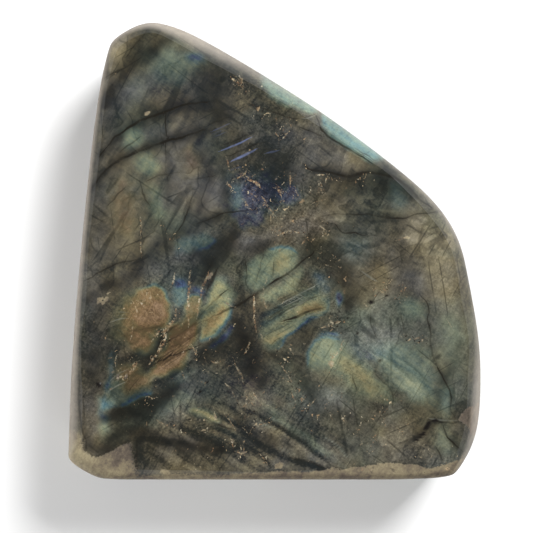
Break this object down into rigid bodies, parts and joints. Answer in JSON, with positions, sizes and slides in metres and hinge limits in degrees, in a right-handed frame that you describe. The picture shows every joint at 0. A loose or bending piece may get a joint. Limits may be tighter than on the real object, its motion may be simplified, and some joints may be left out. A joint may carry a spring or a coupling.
{
  "type": "polished labradorite freeform slab",
  "caption": "Polished freeform slab of labradorite with bevelled edges and a flat foot; it lies on its flat back or stands on the foot.",
  "frame": {"origin": "on the flat back that the stone lies on, under the middle of its width and height", "axes": "+Z out of the back through the polished face, +Y from the straight flat foot to the rounded tip, +X to the right seen from the front"},
  "size_m": [0.109, 0.12, 0.024],
  "materials": {
    "polished_labradorite": "polished, dark grey-green with copper, green and blue flash"
  },
  "bodies": {
    "root": {"labradorite_stone": "polished_labradorite"}
  },
  "joints": []
}
